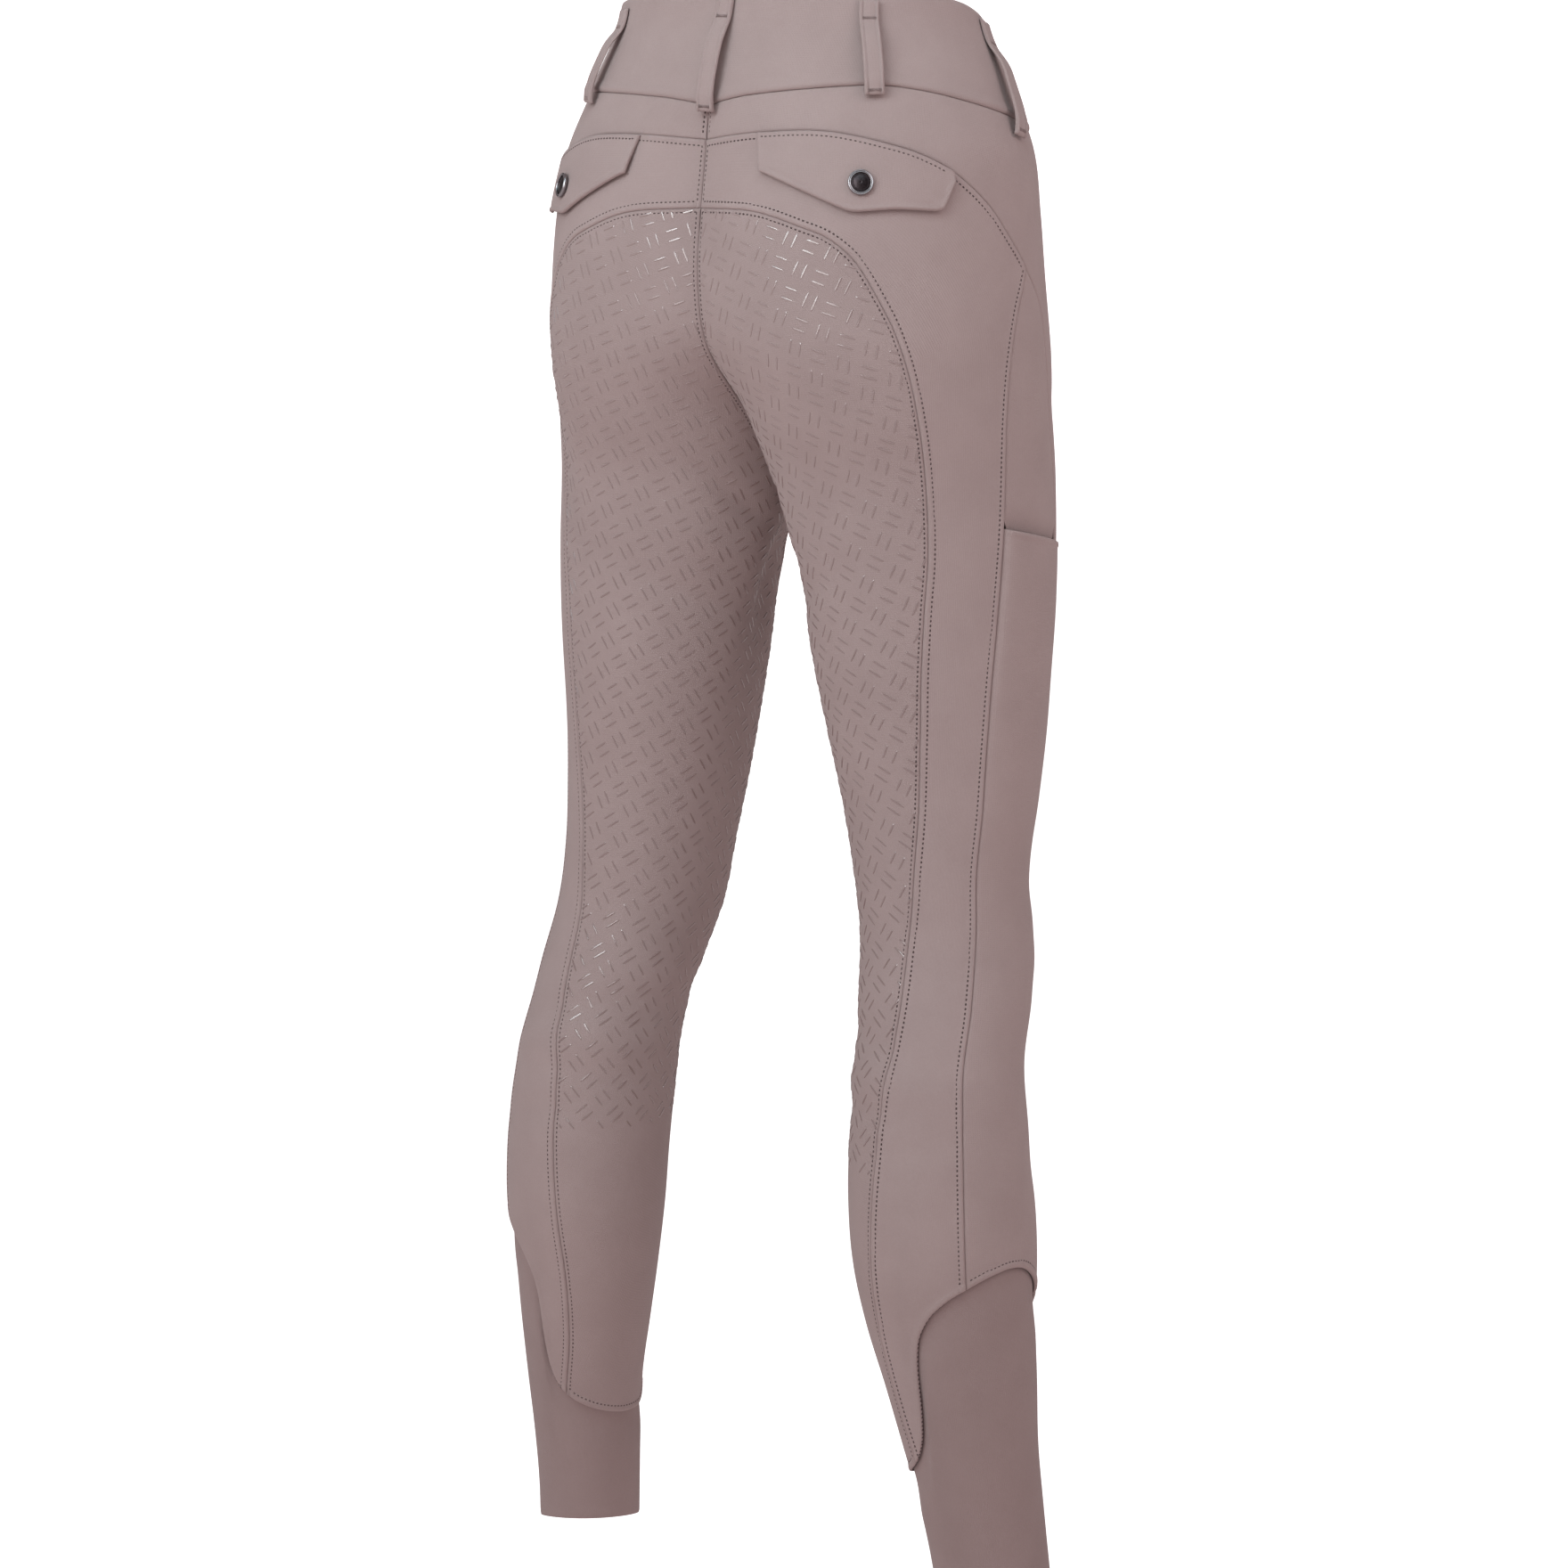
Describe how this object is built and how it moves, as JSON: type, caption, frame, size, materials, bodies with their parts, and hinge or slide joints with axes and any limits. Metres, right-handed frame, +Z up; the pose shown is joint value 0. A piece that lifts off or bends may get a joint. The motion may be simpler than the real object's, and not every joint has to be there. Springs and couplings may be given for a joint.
{
  "type": "riding breeches",
  "caption": "Hollow full-seat riding breeches, worn form: high waistband with belt loops, yoke, flap pockets, side phone pocket, grip seat panels and sock cuffs.",
  "frame": {"origin": "centre of the waist opening, at the mean height of the waistband's top edge", "axes": "+Z up, the front of the breeches faces -Y, the wearer's left is +X"},
  "size_m": [0.3836, 0.2263, 0.9961],
  "materials": {
    "shell": "matt brushed stretch knit",
    "seat": "matt stretch knit with a glossy silicone print",
    "jersey": "thin matt elastic jersey",
    "bright": "polished",
    "gunmetal": "dark satin"
  },
  "bodies": {
    "root": {"front-panel-left": "shell", "front-panel-right": "shell", "hip-panel-left": "shell", "hip-panel-right": "shell", "seat-panel-left": "seat", "seat-panel-left-leg": "seat", "seat-panel-right": "seat", "seat-panel-right-leg": "seat", "side-panel-left": "shell", "side-panel-right": "shell", "pocket-backing-left": "shell", "pocket-backing-right": "shell", "sock-cuff-left": "jersey", "sock-cuff-right": "jersey", "pocket-flap-left": "shell", "pocket-flap-right": "shell", "flap-button-left-rim": "bright", "flap-button-left-centre": "gunmetal", "flap-button-right-rim": "bright", "flap-button-right-centre": "gunmetal", "waistband": "shell", "fly": "shell", "waist-button-1-rim": "bright", "waist-button-1-centre": "gunmetal", "waist-button-2-rim": "bright", "waist-button-2-centre": "gunmetal", "belt-loop-back": "shell", "belt-loop-back-left": "shell", "belt-loop-back-right": "shell", "belt-loop-side-left": "shell", "belt-loop-side-right": "shell", "belt-loop-front-left": "shell", "belt-loop-front-right": "shell"}
  },
  "joints": []
}
